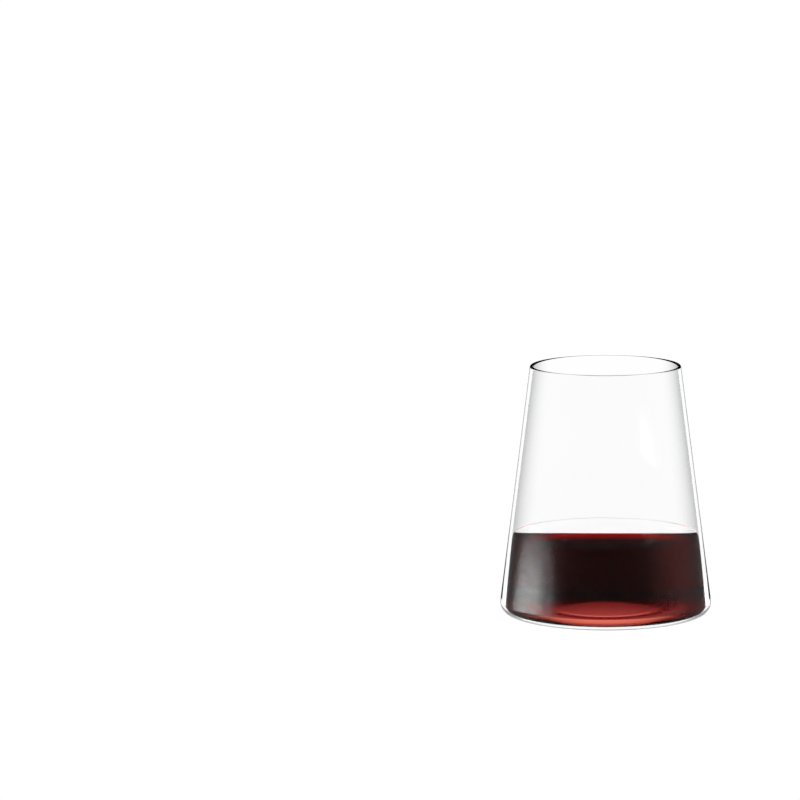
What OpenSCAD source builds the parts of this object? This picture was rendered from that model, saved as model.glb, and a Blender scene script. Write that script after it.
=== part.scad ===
// Stemless wine glass: one blown piece that tapers to the rim, with a pour of red wine in it.
// Millimetres, +Z up, origin on the table under the middle of the foot.

/* [Bowl] */
// Height from the table to the top of the rim
glass_h = 114; // [100:0.5:128]
// Outer diameter just under the rounded rim
rim_d = 68.6; // [60:0.2:80]
// Thickness of the upper wall, which is also the width of the rounded rim
wall_t = 1.6; // [1.2:0.05:2]
// Thickness that the wall has grown to where the inside turns into the floor
low_wall_t = 2.3; // [2.1:0.05:3]
// Height above the table at which the wall starts to thicken downwards
swell_h = 46; // [36:1:60]
// Inner radius of the corner between wall and floor
corner_r = 3.6; // [3:0.1:4.5]

/* [Foot] */
// Greatest outer diameter, just above the table
foot_d = 96; // [88:0.5:106]
// Outer rounding from the wall to the foot
heel_r = 5.5; // [4.5:0.1:7]
// Inner floor's lowest ring above the table
floor_h = 1.6; // [1.5:0.1:2.5]
// Rise of the domed middle of the floor above its lowest ring
dome_h = 3.4; // [3:0.1:4]
// Diameter of the dome where it meets the floor's lowest ring
dome_d = 37; // [34:0.5:42]
// Width of the flat ring that the glass stands on
ring_w = 3; // [2:0.1:5]
// Lift of the underside inside the ring, so that only the ring touches the table
recess_h = 0.3; // [0.2:0.05:0.5]
// Width of the curve between the ring and the lifted underside
recess_edge_w = 3; // [2:0.1:5]
// Further rise of the underside under the dome
push_up_h = 3.1; // [2.6:0.1:3.3]
// Diameter of that rise
push_up_d = 35; // [32:0.5:36]

/* [Wine] */
// Height of the wine's level surface above the table
wine_h = 36.8; // [26:0.2:60]
// Clearance all round between the wine and the glass
wine_gap = 0.15; // [0.1:0.01:0.3]
// Radius of the curve with which the wine climbs the wall
meniscus_r = 0.4; // [0.3:0.05:0.8]

/* [Hidden] */
// Flats round the axis, and steps along each curve of the outlines
$fn = 180;
curve_steps = 16;
// Share of an S curve's two radii that its lower arc takes
dome_foot_share = 0.2;
recess_foot_share = 0.5;
// Angle above level at which the wine's edge ends on the wall
wet_angle = 25;

foot_r = foot_d / 2;
dome_r = dome_d / 2;
push_up_r = push_up_d / 2;
rim_r = wall_t / 2;

// The outer wall is the straight line that touches the heel's circle and the rim's circle
heel_c = [foot_r - heel_r, heel_r];
rim_c = [rim_d / 2 - rim_r, glass_h - rim_r];
heel_to_rim = rim_c - heel_c;
wall_angle = atan2(heel_to_rim[1], heel_to_rim[0]) - acos((heel_r - rim_r) / norm(heel_to_rim));
wall_out = [cos(wall_angle), sin(wall_angle)];

// The inner wall runs parallel to it down to swell_h, then bends in on a wide arc to the corner
corner_top = floor_h + corner_r;
inner_rim = rim_c - rim_r * wall_out;
swell_p = inner_rim + (inner_rim[1] - swell_h) / wall_out[0] * [wall_out[1], -wall_out[0]];
swell_r = pow(swell_h - corner_top, 2) / (2 * (low_wall_t - wall_t));
swell_c = swell_p - swell_r * wall_out;
corner_angle = asin((corner_top - swell_c[1]) / (swell_r - corner_r));
corner_c = [swell_c[0] + (swell_r - corner_r) * cos(corner_angle), corner_top];

// The standing ring lies between the heel's rounding and the recess
ring_out_r = foot_r - heel_r;
ring_in_r = ring_out_r - ring_w;

// The wine's edge lies on the curve that climbs the wall
edge_h = wine_h + meniscus_r * (1 - sin(wet_angle));
edge_angle = min(wall_angle, asin((edge_h - swell_c[1]) / (swell_r - wine_gap)));
edge_x = wall_x(edge_h, wine_gap);

// Points on an arc round c, from one angle to another, without the first where skip is 1
function arc(c, r, from, to, skip = 0) =
    [for (i = [skip:curve_steps]) let (a = from + (to - from) * i / curve_steps) c + r * [cos(a), sin(a)]];

// Points on an S curve that leaves high level, outwards and down, and meets low level.
// grow is added to the solid side of the curve, square to it.
function s_curve(high, low, foot_share, grow = 0, skip = 0) =
    let (
        run = low[0] - high[0],
        drop = high[1] - low[1],
        radii = (run * run + drop * drop) / (2 * drop),
        low_r = foot_share * radii,
        high_r = radii - low_r,
        turn = asin(run / radii)
    )
    concat(
        arc([high[0], high[1] - high_r], high_r + grow, 90, 90 - turn, skip),
        arc([low[0], low[1] + low_r], low_r - grow, 270 - turn, 270, 1)
    );

// Inner wall's distance from the axis at height z, drawn in by gap
function wall_x(z, gap) =
    z > swell_h
        ? inner_rim[0] + (inner_rim[1] - z) * tan(wall_angle) - gap / cos(wall_angle)
        : swell_c[0] + sqrt(pow(swell_r - gap, 2) - pow(z - swell_c[1], 2));

// Floor from the middle of the dome outwards, lifted by gap, then the corner, then the wall up to an angle
function inside_line(gap, to) =
    concat(
        s_curve([0, floor_h + dome_h], [dome_r, floor_h], dome_foot_share, gap),
        arc(corner_c, corner_r - gap, -90, corner_angle),
        arc(swell_c, swell_r - gap, corner_angle, to, 1)
    );

// Underside from the axis outwards, the heel, the wall, the rim, and back down inside
function glass_outline() =
    concat(
        s_curve([0, recess_h + push_up_h], [push_up_r, recess_h], dome_foot_share),
        s_curve([ring_in_r - recess_edge_w, recess_h], [ring_in_r, 0], recess_foot_share),
        arc(heel_c, heel_r, -90, 0),
        arc(heel_c, heel_r, 0, wall_angle, 1),
        arc(rim_c, rim_r, wall_angle, 90),
        arc(rim_c, rim_r, 90, wall_angle + 180, 1),
        reversed(inside_line(0, wall_angle))
    );

// Floor, corner and wall a gap inside the glass, the climbing edge, and the level surface
function wine_outline() =
    concat(
        inside_line(wine_gap, edge_angle),
        edge_h > swell_h ? [[edge_x, edge_h]] : [],
        arc([edge_x - meniscus_r * cos(wet_angle), wine_h + meniscus_r], meniscus_r, -wet_angle, -90, 1),
        [[0, wine_h]]
    );

function reversed(points) = [for (i = [len(points) - 1:-1:0]) points[i]];

module glass() {
    color([0.86, 0.9, 0.9, 0.35])
        rotate_extrude()
            polygon(glass_outline());
}

module wine() {
    color([0.3, 0.02, 0.04])
        rotate_extrude()
            polygon(wine_outline());
}

glass();
wine();
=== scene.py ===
import math

import bpy
from mathutils import Matrix, Vector


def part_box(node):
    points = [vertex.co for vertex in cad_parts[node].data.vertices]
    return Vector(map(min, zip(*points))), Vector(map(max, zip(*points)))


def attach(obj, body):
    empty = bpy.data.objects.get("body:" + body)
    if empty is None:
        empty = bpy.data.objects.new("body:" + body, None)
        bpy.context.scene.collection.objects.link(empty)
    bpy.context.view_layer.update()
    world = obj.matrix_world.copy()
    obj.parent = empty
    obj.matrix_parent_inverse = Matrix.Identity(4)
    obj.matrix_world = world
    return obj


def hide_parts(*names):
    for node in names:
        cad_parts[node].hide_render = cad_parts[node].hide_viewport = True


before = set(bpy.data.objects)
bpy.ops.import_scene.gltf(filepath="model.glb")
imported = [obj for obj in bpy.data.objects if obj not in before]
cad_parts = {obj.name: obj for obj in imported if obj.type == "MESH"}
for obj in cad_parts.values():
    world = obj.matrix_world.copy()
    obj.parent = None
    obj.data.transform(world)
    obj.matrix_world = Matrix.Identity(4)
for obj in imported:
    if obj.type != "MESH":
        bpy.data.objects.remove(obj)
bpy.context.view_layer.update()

# The glass, in metres. Its height and foot come from the frame, and the rest repeats the part's own sizes.
MM = 0.001
glass_low, glass_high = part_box("glass")
GLASS_H = glass_high[2]
FOOT_R = (glass_high[0] - glass_low[0]) / 2
RIM_D = 68.6 * MM
WALL_T = 1.6 * MM
LOW_WALL_T = 2.3 * MM
SWELL_H = 46 * MM
CORNER_R = 3.6 * MM
HEEL_R = 5.5 * MM
FLOOR_H = 1.6 * MM
DOME_H = 3.4 * MM
DOME_R = 18.5 * MM
RING_W = 3 * MM
RECESS_H = 0.3 * MM
RECESS_EDGE_W = 3 * MM
PUSH_UP_H = 3.1 * MM
PUSH_UP_R = 17.5 * MM
DOME_FOOT_SHARE = 0.2
RECESS_FOOT_SHARE = 0.5

# The wine. Its edge climbs the wall in a finer curve than the part's, so that the surface ends in a thinner
# line, and meets the wall at an angle in degrees.
WINE_H = 36.8 * MM
WINE_GAP = 0.15 * MM
MENISCUS_R = 0.2 * MM
WET_ANGLE = 25

# Fineness of the meshes, and the angle in degrees up to which they are shaded smooth
CURVE_STEPS = 20
SPIN_STEPS = 288
WELD = 0.001 * MM
END_MARGIN = 0.1 * MM
STRAIGHT_SHARES = (0.25, 0.5, 0.75)
SMOOTH_UNDER = 40

# How far a face's normal points up or down where it belongs to the wine's surface or to its underside
SURFACE_UP = 0.9
UNDERSIDE_DOWN = -0.5

# White light, or no tint
WHITE = (1, 1, 1, 1)

# Clear glass. Gloss is a share of what the body mirrors by nature, and a turn is 0 face on and 1 edge on.
# The edge colours are painted shade that darkens the glass as it turns edge on. Low down the wall takes its
# painted edge shade sooner, and the foot mirrors more.
GLASS_INDEX = 1.5
GLASS_TINT = (0.988, 0.988, 0.988, 1)
GLASS_GLOSS = 0.07
FOOT_GLOSS = 0.8
FOOT_GLOSS_FADES = (0.8 * MM, 2.5 * MM)
OUTER_EDGE_PAINTED_SHADE = (0.35, 0.35, 0.35, 1)
OUTER_EDGE_TURN = (0.82, 0.93)
INNER_EDGE_PAINTED_SHADE = (0.52, 0.53, 0.53, 1)
INNER_EDGE_TURN = (0.35, 0.95)
HEEL_SOONER = 0.24
HEEL_SOONER_FADES = (3.5 * MM, 5.5 * MM)

# Shares mirrored inside a body between which its light turns from leaving it to being kept in
KEPT_IN = (0.5, 0.98)

# Red wine, with what it takes of red, green and blue per metre
WINE_INDEX = 1.345
WINE_GLOSS = 0.07
SURFACE_GLOSS = 1.0
WINE_LOSS = (60, 123, 127)

# Painted glow: warm light painted on the wine just above the heel, between two heights, where the wine is
# seen face on
PAINTED_HEEL_GLOW = (0.76, 0.15, 0.1, 1)
PAINTED_HEEL_GLOW_RISES = (2.9 * MM, 4.0 * MM)
PAINTED_HEEL_GLOW_FADES = (5.2 * MM, 5.7 * MM)
PAINTED_HEEL_GLOW_TURN = (0.03, 0.35)

# Painted glow on the underside, in place of light through it as level rays meet it: the dome, its near edge,
# then rings out to the corner, the last of them a dim one of painted shade
PAINTED_DOME_GLOW = (2.05, 1.7, 1.7, 1)
PAINTED_DOME_EDGE_GLOW = (3.4, 3.8, 3.4, 1)
DOME_EDGE = (16.1 * MM, 16.6 * MM)
DOME_EDGE_LEAN = (0.03, 0.1)
PAINTED_LINE_GLOW = (0.78, 0.06, 0.05, 1)
LINE = (18.2 * MM, 19.4 * MM)
PAINTED_RING_GLOW = (0.9, 0.5, 0.5, 1)
RING = (22 * MM, 23.6 * MM)
PAINTED_DARK_GLOW = (0.14, 0.02, 0.02, 1)
DARK = (25 * MM, 30 * MM)

# The same painted glow as steeper rays meet it: painted shade in the middle, red glow behind it, and painted
# shade again for the steepest.
# Level is 0 straight down and 1 along the table.
STEEP_MIDDLE_PAINTED_SHADE = (0.15, 0.15, 0.15, 1)
STEEP_BEHIND_PAINTED_GLOW = (7.6, 1.5, 1.5, 1)
STEEP_DEPTH = (7 * MM, 25 * MM)
STEEP_POWER = 2
STEEP_LEVEL = (0.5, 0.75)
STEEPEST_LEVEL = (0.2, 0.29)

# The white table
TABLE_SIDE = 40
TABLE_DROP = 0.05 * MM
TABLE_LIGHT = 1.07
TABLE_GLOSS = 0.05
TABLE_ROUGHNESS = 0.02

# The room: white up to just above the horizon, in degrees, then dark, with bright sides higher up. The sides
# come in with a direction's squared x and with its z, where its length is 1.
HORIZON_FADES = (2.0, 5.5)
ROOM_DARK = 0.01
SIDE_LIGHT = 0.8
SIDE_X_SQUARED = (0.5, 0.7)
SIDE_Z = (0.1, 0.2)

# A strip behind the glass, which the far half of the wine's surface mirrors
BACK_Y = 0.6
BACK_W = 1.2
BACK_H = 0.03
BACK_RADIANCE = 2.78

# Soft cards beside the glass. Across and up run from -0.5 to 0.5 over a card's face. The light rises with a
# power of a straight line up to the first share across, falls with a power of a smooth step from the second
# on, and fades upwards from the share up. A card that is turned away further than CARD_TURN is clear.
CARD_END = 0.5
CARD_TURN = (0.2, 0.3)
LEFT_CARD = {
    "place": (-80 * MM, -46 * MM, 24.8 * MM),
    "turn": 90,
    "size": (168 * MM, 49.6 * MM),
    "light": (70, 70, 70, 1),
    "across_shares": (0.048, 0.089),
    "powers": (6, 4),
    "up_share": -0.284,
}
RIGHT_CARD = {
    "place": (80 * MM, -51 * MM, 25.5 * MM),
    "turn": -90,
    "size": (118 * MM, 51 * MM),
    "light": (4.0, 2.2, 2.2, 1),
    "across_shares": (-0.195, -0.195),
    "powers": (1, 1),
    "up_share": 0.3,
}

# Camera, from the outline of the glass in the 800 x 800 photograph, with its angles in degrees
PHOTO_SIDE = 800
FOOT_PIXEL = (604.26, 613.97)
FOCAL_PIXELS = 5253
CAMERA_ELEVATION = 10.645
CAMERA_DISTANCE = 2.4
CAMERA_ROLL = -0.347
SENSOR_W = 36


def arc(centre, radius, start, stop, skip=0):
    """Points on an arc round centre, from one angle to another, without the first where skip is 1."""
    points = []
    for i in range(skip, CURVE_STEPS + 1):
        angle = math.radians(start + (stop - start) * i / CURVE_STEPS)
        points.append((centre[0] + radius * math.cos(angle), centre[1] + radius * math.sin(angle)))
    return points


def s_curve(high, low, foot_share, grow=0.0):
    """An S curve that leaves high level, outwards and down, and meets low level."""
    run = low[0] - high[0]
    drop = high[1] - low[1]
    radii = (run**2 + drop**2) / (2 * drop)
    low_r = foot_share * radii
    high_r = radii - low_r
    turn = math.degrees(math.asin(run / radii))
    upper = arc((high[0], high[1] - high_r), high_r + grow, 90, 90 - turn)
    lower = arc((low[0], low[1] + low_r), low_r - grow, 270 - turn, 270, 1)
    return upper + lower


# The straight outer wall touches the heel's circle and the rim's circle
rim_r = WALL_T / 2
heel_c = (FOOT_R - HEEL_R, HEEL_R)
rim_c = (RIM_D / 2 - rim_r, GLASS_H - rim_r)
heel_to_rim = (rim_c[0] - heel_c[0], rim_c[1] - heel_c[1])
rim_lead = math.acos((HEEL_R - rim_r) / math.hypot(*heel_to_rim))
wall_turn = math.atan2(heel_to_rim[1], heel_to_rim[0]) - rim_lead
wall_out = (math.cos(wall_turn), math.sin(wall_turn))
WALL_ANGLE = math.degrees(wall_turn)

# The inner wall runs parallel to it, bends in on a wide arc low down, and turns into the floor
corner_top = FLOOR_H + CORNER_R
inner_rim = (rim_c[0] - rim_r * wall_out[0], rim_c[1] - rim_r * wall_out[1])
swell_run = (inner_rim[1] - SWELL_H) / wall_out[0]
swell_p = (inner_rim[0] + swell_run * wall_out[1], inner_rim[1] - swell_run * wall_out[0])
swell_r = (SWELL_H - corner_top) ** 2 / (2 * (LOW_WALL_T - WALL_T))
swell_c = (swell_p[0] - swell_r * wall_out[0], swell_p[1] - swell_r * wall_out[1])
corner_turn = math.asin((corner_top - swell_c[1]) / (swell_r - CORNER_R))
corner_c = (swell_c[0] + (swell_r - CORNER_R) * math.cos(corner_turn), corner_top)
CORNER_ANGLE = math.degrees(corner_turn)


def straight(start, stop):
    """Points inside a straight stretch, close to its ends too, so that smooth shading keeps it flat."""
    run = (stop[0] - start[0], stop[1] - start[1])
    margin = END_MARGIN / math.hypot(*run)
    shares = (margin, *STRAIGHT_SHARES, 1 - margin)
    return [(start[0] + run[0] * share, start[1] + run[1] * share) for share in shares]


def inside_line(gap, stop):
    """Floor from the middle of its dome outwards, the corner, and the wall up to an angle, lifted by gap."""
    floor = s_curve((0, FLOOR_H + DOME_H), (DOME_R, FLOOR_H), DOME_FOOT_SHARE, gap)
    corner = arc(corner_c, CORNER_R - gap, -90, CORNER_ANGLE)
    wall = arc(swell_c, swell_r - gap, CORNER_ANGLE, stop, 1)
    return floor + straight(floor[-1], corner[0]) + corner + wall


def glass_outline():
    """Underside from the axis outwards, the heel, the wall, the rim, and back down inside to the axis."""
    ring_out_r = FOOT_R - HEEL_R
    ring_in_r = ring_out_r - RING_W
    push_up = s_curve((0, RECESS_H + PUSH_UP_H), (PUSH_UP_R, RECESS_H), DOME_FOOT_SHARE)
    recess = s_curve((ring_in_r - RECESS_EDGE_W, RECESS_H), (ring_in_r, 0), RECESS_FOOT_SHARE)
    heel = arc(heel_c, HEEL_R, -90, WALL_ANGLE)
    rim = arc(rim_c, rim_r, WALL_ANGLE, WALL_ANGLE + 180)
    inside = inside_line(0, WALL_ANGLE)[::-1]
    lifted = push_up + straight(push_up[-1], recess[0]) + recess
    outside = lifted + straight(recess[-1], heel[0]) + heel + straight(heel[-1], rim[0]) + rim
    return outside + straight(rim[-1], inside[0]) + inside


def wine_outline():
    """Floor, corner and wall a gap inside the glass, the edge that climbs the wall, and the level surface."""
    wet_angle = math.radians(WET_ANGLE)
    edge_h = WINE_H + MENISCUS_R * (1 - math.sin(wet_angle))
    edge_angle = math.asin((edge_h - swell_c[1]) / (swell_r - WINE_GAP))
    edge_x = swell_c[0] + (swell_r - WINE_GAP) * math.cos(edge_angle)
    climb_c = (edge_x - MENISCUS_R * math.cos(wet_angle), WINE_H + MENISCUS_R)
    climb = arc(climb_c, MENISCUS_R, -WET_ANGLE, -90, 1)
    level = [(climb[-1][0], WINE_H), (0, WINE_H)]
    return inside_line(WINE_GAP, math.degrees(edge_angle)) + climb + straight(*level) + [level[1]]


def turned(name, outline):
    """A closed body of revolution about the glass's axis, drawn point by point and spun."""
    bpy.ops.object.select_all(action="DESELECT")
    bpy.ops.mesh.primitive_plane_add(size=MM, location=(0, 0, 0))
    piece = bpy.context.object
    piece.name = name
    piece.data.name = name
    bpy.ops.object.mode_set(mode="EDIT")
    bpy.ops.mesh.select_all(action="SELECT")
    bpy.ops.mesh.merge(type="CENTER")
    last = (0, 0)
    for i, point in enumerate(outline):
        step = {"value": (point[0] - last[0], 0, point[1] - last[1])}
        if i == 0:
            bpy.ops.transform.translate(**step)
        else:
            bpy.ops.mesh.extrude_region_move(TRANSFORM_OT_translate=step)
        last = point
    bpy.ops.mesh.select_all(action="SELECT")
    bpy.ops.mesh.spin(steps=SPIN_STEPS, angle=2 * math.pi, center=(0, 0, 0), axis=(0, 0, 1))
    bpy.ops.mesh.select_all(action="SELECT")
    bpy.ops.mesh.remove_doubles(threshold=WELD)
    bpy.ops.mesh.normals_make_consistent(inside=False)
    bpy.ops.object.mode_set(mode="OBJECT")
    bpy.ops.object.shade_smooth_by_angle(angle=math.radians(SMOOTH_UNDER))
    return piece


class Wire:
    """One output of a shader node, on which Python's operators add Math nodes."""

    def __init__(self, desk, socket):
        self.desk = desk
        self.socket = socket

    def maths(self, operation, *values):
        """A Math node on values and wires."""
        return self.desk.node("ShaderNodeMath", {"operation": operation}, dict(enumerate(values)))

    def __add__(self, other):
        return self.maths("ADD", self, other)

    def __radd__(self, other):
        return self.maths("ADD", other, self)

    def __sub__(self, other):
        return self.maths("SUBTRACT", self, other)

    def __rsub__(self, other):
        return self.maths("SUBTRACT", other, self)

    def __mul__(self, other):
        return self.maths("MULTIPLY", self, other)

    def __rmul__(self, other):
        return self.maths("MULTIPLY", other, self)

    def __pow__(self, other):
        return self.maths("POWER", self, other)


class Desk:
    """The node tree of one material or world, with one method that adds any node."""

    def __init__(self, owner):
        owner.use_nodes = True
        self.tree = owner.node_tree
        self.tree.nodes.clear()

    def node(self, kind, settings=None, inputs=None, output=0):
        """A new node with its settings, and with values or wires in its sockets."""
        made = self.tree.nodes.new(kind)
        for name, value in (settings or {}).items():
            setattr(made, name, value)
        for name, value in (inputs or {}).items():
            if isinstance(value, Wire):
                self.tree.links.new(value.socket, made.inputs[name])
            else:
                made.inputs[name].default_value = value
        return Wire(self, made.outputs[output]) if made.outputs else None

    def smooth(self, value, low, high, to_low=0.0, to_high=1.0):
        """A smooth step from to_low at low to to_high at high."""
        ends = {"Value": value, "From Min": low, "From Max": high, "To Min": to_low, "To Max": to_high}
        return self.node("ShaderNodeMapRange", {"interpolation_type": "SMOOTHSTEP"}, ends)

    def fade(self, value, low, high):
        """A smooth step from 1 at low to 0 at high."""
        return self.smooth(value, low, high, 1.0, 0.0)

    def line(self, value, low, high):
        """A straight rise from 0 at low to 1 at high, and level beyond them."""
        return self.node("ShaderNodeMapRange", {}, {"Value": value, "From Min": low, "From Max": high})

    def blend(self, factor, first, second):
        """A colour between two others."""
        ends = {"Factor": factor, "A": first, "B": second}
        return self.node("ShaderNodeMix", {"data_type": "RGBA"}, ends, output="Result")

    def place(self, kind="Object"):
        """Where a point lies in its own piece, or with Generated the direction in which the room is seen."""
        return self.node("ShaderNodeTexCoord", {}, {}, output=kind)

    def split(self, vector):
        """A vector's x, y and z."""
        x = self.node("ShaderNodeSeparateXYZ", {}, {"Vector": vector})
        return [Wire(self, socket) for socket in x.socket.node.outputs]

    def turn(self, normal=None):
        """How far a face, or one with another normal, is turned away: 0 face on, 1 edge on."""
        inputs = {"Blend": 0.5}
        if normal:
            inputs["Normal"] = normal
        return self.node("ShaderNodeLayerWeight", {}, inputs, output="Facing")

    def inside(self):
        """1 where a face is met from behind, else 0."""
        return self.node("ShaderNodeNewGeometry", {}, {}, output="Backfacing")

    def glow(self, light):
        """A face that gives light of one colour and strength."""
        return self.node("ShaderNodeEmission", {}, {"Color": light, "Strength": 1.0})

    def mix(self, factor, first, second):
        """One shader where the factor is 0 and the other where it is 1."""
        return self.node("ShaderNodeMixShader", {}, {0: factor, 1: first, 2: second})


def new_material(name):
    """A material and the desk for its nodes."""
    made = bpy.data.materials.new(name)
    return made, Desk(made)


def see_through(desk, index, gloss, tint):
    """A clear body that mirrors less than by nature, but keeps in all the light that can't leave it."""
    uniform = {"Roughness": 0.0, "IOR": index}
    clear = {**uniform, "Base Color": tint, "Transmission Weight": 1.0}
    body = desk.node("ShaderNodeBsdfPrincipled", {}, clear)
    bare = desk.node("ShaderNodeBsdfRefraction", {}, {**uniform, "Color": tint})
    mirrored = desk.node("ShaderNodeFresnel", {}, {"IOR": index})
    kept_in = desk.inside() * desk.smooth(mirrored, *KEPT_IN)
    return desk.mix((1 - kept_in) * (1 - gloss), body, bare)


def clear_glass(name, edge_turn, painted_edge_shade):
    """Clear glass darkened by painted shade where it is seen edge on, and that mirrors the table low down."""
    made, desk = new_material(name)
    height = desk.split(desk.place())[2]
    sooner = desk.smooth(height, *HEEL_SOONER_FADES, HEEL_SOONER, 0.0)
    # Painted shade: the colour darkens towards the edge shade as the face turns edge on, and sooner low down
    tint = desk.blend(desk.smooth(desk.turn() + sooner, *edge_turn), GLASS_TINT, painted_edge_shade)
    gloss = desk.smooth(height, *FOOT_GLOSS_FADES, FOOT_GLOSS, GLASS_GLOSS)
    desk.node("ShaderNodeOutputMaterial", {}, {"Surface": see_through(desk, GLASS_INDEX, gloss, tint)})
    return made


def wine_depth(desk):
    """Liquid that takes green and blue faster than red, and leaves nearly nothing through the whole glass."""
    most = max(WINE_LOSS)
    colour = [1 - loss / most for loss in WINE_LOSS] + [1]
    return desk.node("ShaderNodeVolumeAbsorption", {}, {"Color": colour, "Density": most})


def wine_rim():
    """The wine's edge on the wall, too thin to take light."""
    made, desk = new_material("wine_rim")
    surface = see_through(desk, WINE_INDEX, WINE_GLOSS, WHITE)
    desk.node("ShaderNodeOutputMaterial", {}, {"Surface": surface})
    return made


def red_wine(name, gloss):
    """Wine with a painted glow low down, which stands in for light from the foot that comes out after a short
    way.
    """
    made, desk = new_material(name)
    surface = see_through(desk, WINE_INDEX, gloss, WHITE)
    height = desk.split(desk.place())[2]
    # Painted glow: a band of emission low down on the wine's outer faces, where they are seen face on
    painted_glow_band = desk.smooth(height, *PAINTED_HEEL_GLOW_RISES) * desk.fade(height, *PAINTED_HEEL_GLOW_FADES)
    share = painted_glow_band * desk.fade(desk.turn(), *PAINTED_HEEL_GLOW_TURN) * (1 - desk.inside())
    with_painted_glow = desk.mix(share, surface, desk.glow(PAINTED_HEEL_GLOW))
    desk.node("ShaderNodeOutputMaterial", {}, {"Surface": with_painted_glow, "Volume": wine_depth(desk)})
    return made


def level_painted_glow(desk, radius, level):
    """Painted glow in place of the table's light as a level ray meets it: the dome, its edge where it leans
    to the ray, the rings.
    """
    lean = desk.smooth(level - desk.turn(), *DOME_EDGE_LEAN)
    light = desk.blend(desk.smooth(radius, *DOME_EDGE) * lean, PAINTED_DOME_GLOW, PAINTED_DOME_EDGE_GLOW)
    for ends, ring_painted_glow in ((LINE, PAINTED_LINE_GLOW), (RING, PAINTED_RING_GLOW), (DARK, PAINTED_DARK_GLOW)):
        light = desk.blend(desk.smooth(radius, *ends), light, ring_painted_glow)
    return light


def steep_painted_glow(desk, place, radius, level):
    """Painted glow in place of the table's light as a steeper ray meets it: it grows with the depth behind
    the middle of the glass.
    """
    outwards = desk.node("ShaderNodeVectorMath", {"operation": "NORMALIZE"}, {0: place})
    behind = radius * (1 - desk.turn(outwards))
    share = desk.smooth(behind, *STEEP_DEPTH) ** STEEP_POWER * desk.smooth(level, *STEEPEST_LEVEL)
    return desk.blend(share, STEEP_MIDDLE_PAINTED_SHADE, STEEP_BEHIND_PAINTED_GLOW)


def wine_floor():
    """Underside of the wine, seen from inside as a painted glow in rings round the dome, in place of the
    table's light.
    """
    made, desk = new_material("wine_floor")
    surface = see_through(desk, WINE_INDEX, WINE_GLOSS, WHITE)
    place = desk.place()
    x, y, _ = desk.split(place)
    radius = (x * x + y * y) ** 0.5
    level = desk.turn(desk.node("ShaderNodeCombineXYZ", {}, {"Z": 1.0}))
    along = level_painted_glow(desk, radius, level)
    down = steep_painted_glow(desk, place, radius, level)
    light = desk.blend(desk.fade(level, *STEEP_LEVEL), along, down)
    # Seen from inside, the underside shows the painted glow in place of what lies under it
    with_painted_glow = desk.mix(desk.inside(), surface, desk.glow(light))
    desk.node("ShaderNodeOutputMaterial", {}, {"Surface": with_painted_glow, "Volume": wine_depth(desk)})
    return made


def white_table():
    """A white face with a trace of gloss."""
    made, desk = new_material("white_floor")
    glow = desk.node("ShaderNodeEmission", {}, {"Color": WHITE, "Strength": TABLE_LIGHT})
    gloss = desk.node("ShaderNodeBsdfGlossy", {}, {"Color": WHITE, "Roughness": TABLE_ROUGHNESS})
    desk.node("ShaderNodeOutputMaterial", {}, {"Surface": desk.mix(TABLE_GLOSS, glow, gloss)})
    return made


def lay_table():
    """The table, a hair below the foot."""
    bpy.ops.object.select_all(action="DESELECT")
    bpy.ops.mesh.primitive_plane_add(size=TABLE_SIDE, location=(0, 0, -TABLE_DROP))
    floor = bpy.context.object
    floor.name = "floor"
    floor.data.materials.append(white_table())


def card_face(name, light, across_shares, powers, up_share):
    """Light that fades out to the sides and upwards. The card is clear where dark, aslant and from behind."""
    made, desk = new_material(name)
    x, y, _ = desk.split(desk.place())
    rise = desk.line(x, -CARD_END, across_shares[0]) ** powers[0]
    fall = desk.fade(x, across_shares[1], CARD_END) ** powers[1]
    up = desk.fade(y, up_share, CARD_END)
    forward = desk.fade(desk.turn(), *CARD_TURN)
    share = rise * fall * up * forward * (1 - desk.inside())
    clear = desk.node("ShaderNodeBsdfTransparent")
    desk.node("ShaderNodeOutputMaterial", {}, {"Surface": desk.mix(share, clear, desk.glow(light))})
    return made


def soft_card(name, place, turn, size, **face):
    """An upright card, turned about the vertical by an angle in degrees."""
    bpy.ops.object.select_all(action="DESELECT")
    bpy.ops.mesh.primitive_plane_add(size=1, location=(0, 0, 0))
    card = bpy.context.object
    card.name = name
    card.scale = (*size, 1)
    card.rotation_euler = (math.radians(90), 0, math.radians(turn))
    card.location = place
    card.data.materials.append(card_face(name, **face))


def light_room():
    """White from the table up to just above the horizon, and a dark room with bright sides above it."""
    world = bpy.data.worlds.new("studio")
    bpy.context.scene.world = world
    desk = Desk(world)
    x, _, height = desk.split(desk.place("Generated"))
    low, high = [math.sin(math.radians(angle)) for angle in HORIZON_FADES]
    room = desk.smooth(height, low, high, 1.0, ROOM_DARK)
    side = desk.smooth(x * x, *SIDE_X_SQUARED) * desk.smooth(height, *SIDE_Z)
    level = desk.smooth(side, 0.0, 1.0, 0.0, SIDE_LIGHT) + room
    light = desk.node("ShaderNodeBackground", {}, {"Color": WHITE, "Strength": level})
    desk.node("ShaderNodeOutputWorld", {}, {"Surface": light})


def camera_place():
    """Where the camera stands, in front of the glass and above the table."""
    elevation = math.radians(CAMERA_ELEVATION)
    return Vector((0, -math.cos(elevation), math.sin(elevation))) * CAMERA_DISTANCE


def hang_back_strip():
    """A strip whose top is where the line of sight meets it, once the wine's surface has mirrored it."""
    camera = camera_place()
    top = WINE_H + BACK_Y * (camera.z - WINE_H) / -camera.y
    light = bpy.data.lights.new("back_strip", "AREA")
    light.shape = "RECTANGLE"
    light.size = BACK_W
    light.size_y = BACK_H
    light.energy = BACK_RADIANCE * math.pi * BACK_W * BACK_H
    strip = bpy.data.objects.new("back_strip", light)
    bpy.context.scene.collection.objects.link(strip)
    turn = Vector((0, -1, 0)).to_track_quat("-Z", "Y").to_matrix().to_4x4()
    strip.matrix_world = Matrix.Translation((0, BACK_Y, top - BACK_H / 2)) @ turn


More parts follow.
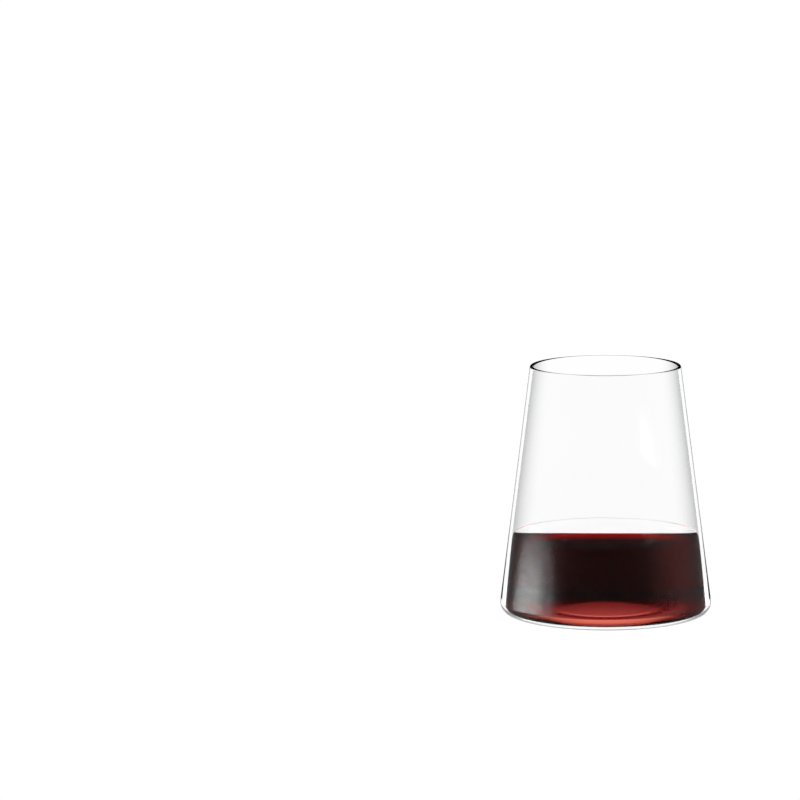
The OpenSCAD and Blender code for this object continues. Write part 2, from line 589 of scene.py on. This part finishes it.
def place_camera():
    """Camera on the photograph's line of sight, turned until the foot's middle falls on its pixel."""
    camera = bpy.data.objects.new("camera", bpy.data.cameras.new("camera"))
    bpy.context.scene.collection.objects.link(camera)
    bpy.context.scene.camera = camera
    camera.data.sensor_width = SENSOR_W
    camera.data.lens = FOCAL_PIXELS / PHOTO_SIDE * SENSOR_W
    right = (FOOT_PIXEL[0] - PHOTO_SIDE / 2) / FOCAL_PIXELS
    up = (PHOTO_SIDE / 2 - FOOT_PIXEL[1]) / FOCAL_PIXELS
    sight = Vector((right, up, 1)).normalized()
    upright = math.hypot(sight.y, sight.z)
    down = math.sin(math.radians(CAMERA_ELEVATION)) / upright
    pitch = math.asin(-down) - math.atan2(sight.y, sight.z)
    yaw = math.atan2(sight.x, sight.z * math.cos(pitch) - sight.y * math.sin(pitch))
    turn = Matrix.Rotation(yaw, 4, "Z") @ Matrix.Rotation(math.radians(90) + pitch, 4, "X")
    roll = Matrix.Rotation(math.radians(CAMERA_ROLL), 4, "Z")
    camera.matrix_world = Matrix.Translation(camera_place()) @ turn @ roll


def cover(piece, material, chosen=None):
    """Add a material to the piece, and give it to the faces that are chosen."""
    piece.data.materials.append(material)
    for face in piece.data.polygons:
        if chosen and chosen(face):
            face.material_index = len(piece.data.materials) - 1


def inner_wall(face):
    """Whether a face of the glass looks at its axis from above the corner."""
    inwards = face.normal.x * face.center.x + face.normal.y * face.center.y < 0
    return inwards and face.center.z > corner_top


def underside(face):
    """Whether a face of the wine lies on the glass's floor."""
    return face.normal.z < UNDERSIDE_DOWN and math.hypot(face.center.x, face.center.y) < corner_c[0]


def make_glass():
    """The blown glass, with a painted edge shade set apart for the inner wall."""
    piece = turned("blown_glass", glass_outline())
    cover(piece, clear_glass("outer_glass", OUTER_EDGE_TURN, OUTER_EDGE_PAINTED_SHADE))
    cover(piece, clear_glass("inner_glass", INNER_EDGE_TURN, INNER_EDGE_PAINTED_SHADE), inner_wall)
    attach(piece, "root")
    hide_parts("glass")


def make_wine():
    """The poured wine: its side, its underside, its level surface, and its edge above that."""
    piece = turned("poured_wine", wine_outline())
    cover(piece, red_wine("red_wine", WINE_GLOSS))
    cover(piece, wine_floor(), underside)
    cover(piece, red_wine("wine_top", SURFACE_GLOSS), lambda face: face.normal.z > SURFACE_UP)
    cover(piece, wine_rim(), lambda face: face.center.z > WINE_H + WELD)
    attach(piece, "root")
    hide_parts("wine")


place_camera()
make_glass()
make_wine()
lay_table()
light_room()
soft_card("left_card", **LEFT_CARD)
soft_card("right_card", **RIGHT_CARD)
hang_back_strip()
bpy.context.scene.view_settings.view_transform = "Standard"
